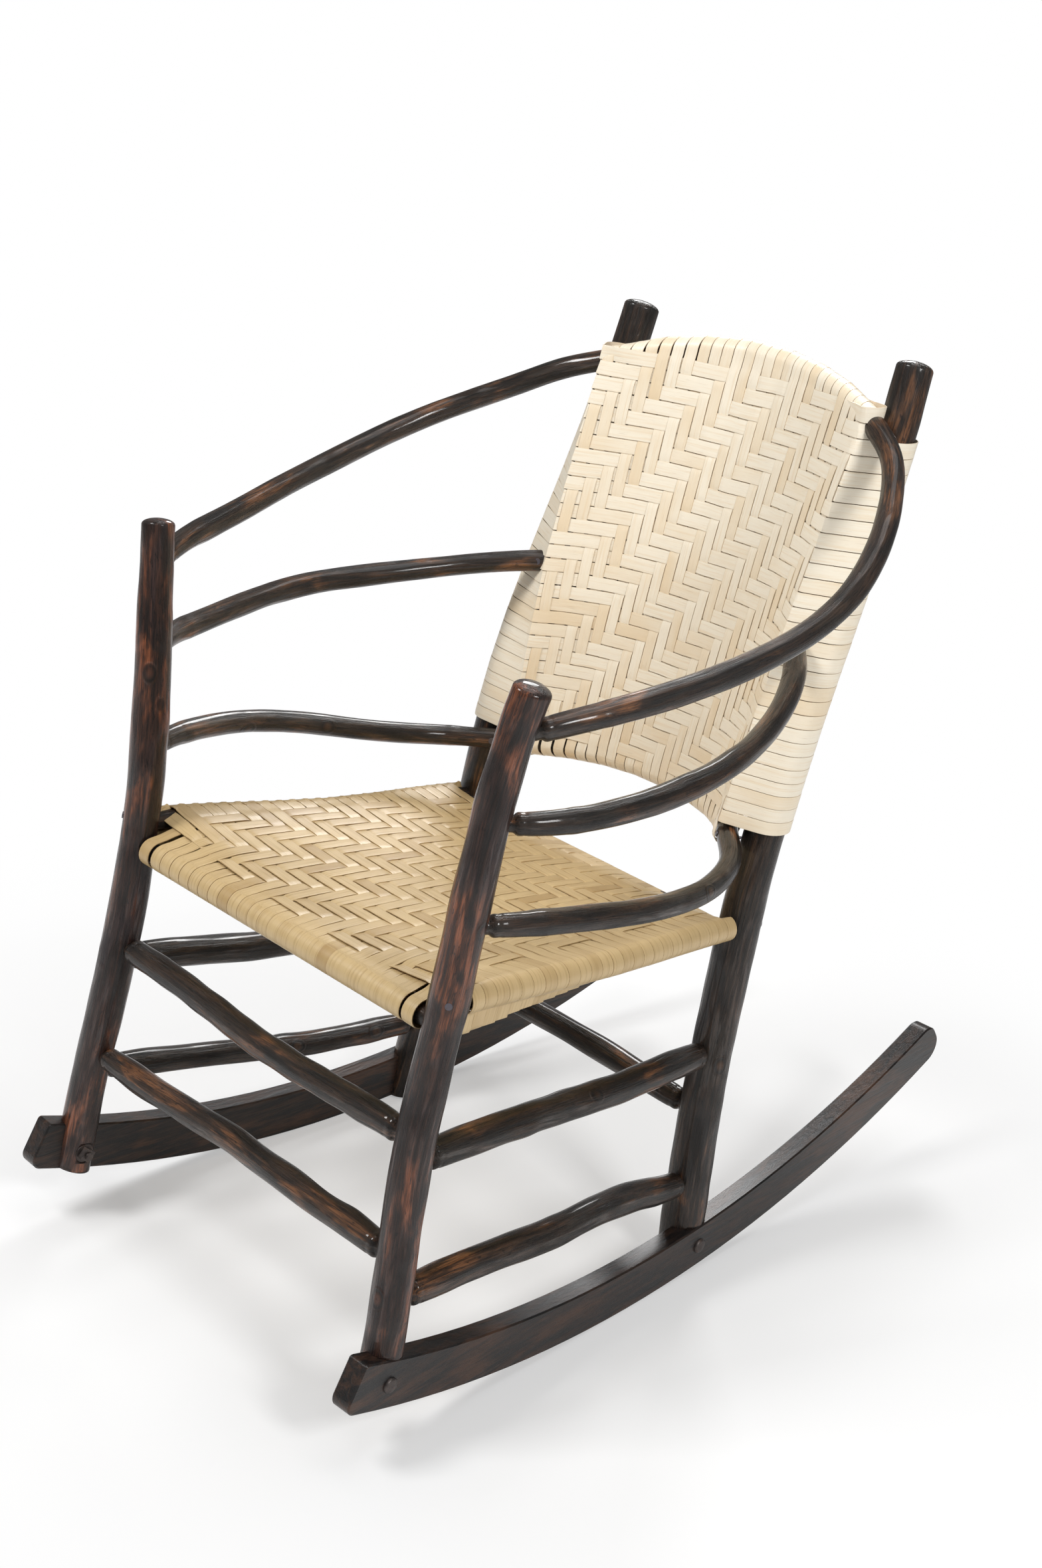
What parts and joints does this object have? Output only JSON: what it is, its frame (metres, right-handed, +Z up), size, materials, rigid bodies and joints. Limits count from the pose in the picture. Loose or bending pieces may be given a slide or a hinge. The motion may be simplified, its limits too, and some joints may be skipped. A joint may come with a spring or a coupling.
{
  "type": "rocking chair",
  "caption": "Rustic hickory pole rocking chair with bent hoop arms, splayed posts, woven splint seat and back, and board rockers bolted to the feet.",
  "frame": {"origin": "centre of the bounding box on the floor plane, where the rockers rest", "axes": "+Z up, -Y the way the sitter faces, +X to the sitter's left"},
  "size_m": [0.6764, 0.9958, 0.9969],
  "materials": {
    "hickory_posts": "dark stained hickory under satin varnish",
    "rocker_boards": "dark stained boards under satin varnish",
    "hickory_rails": "dark stained hickory under satin varnish",
    "hickory_stretchers": "dark stained hickory under satin varnish",
    "hickory_hoops": "dark stained bent hickory under satin varnish",
    "seat_splint": "woven golden tan bark splint",
    "back_splint": "woven pale cream bark splint",
    "bolt_steel": "dark browned steel",
    "nail_steel": "dull dark steel"
  },
  "bodies": {
    "root": {"front_post_left": "hickory_posts", "front_post_right": "hickory_posts", "back_post_left": "hickory_posts", "back_post_right": "hickory_posts", "rocker_left": "rocker_boards", "rocker_right": "rocker_boards", "seat_rail_front": "hickory_rails", "seat_rail_back": "hickory_rails", "seat_rail_left": "hickory_rails", "seat_rail_right": "hickory_rails", "front_stretcher_upper": "hickory_stretchers", "front_stretcher_lower": "hickory_stretchers", "side_stretcher_left_upper": "hickory_stretchers", "side_stretcher_left_lower": "hickory_stretchers", "side_stretcher_right_upper": "hickory_stretchers", "side_stretcher_right_lower": "hickory_stretchers", "back_stretcher": "hickory_stretchers", "hoop_top": "hickory_hoops", "hoop_middle": "hickory_hoops", "hoop_low": "hickory_hoops", "seat_weave": "seat_splint", "back_weave": "back_splint", "rocker_bolts": "bolt_steel", "rocker_washers": "bolt_steel", "rocker_nuts": "bolt_steel", "hoop_nails": "nail_steel", "rail_nails": "nail_steel"}
  },
  "joints": []
}
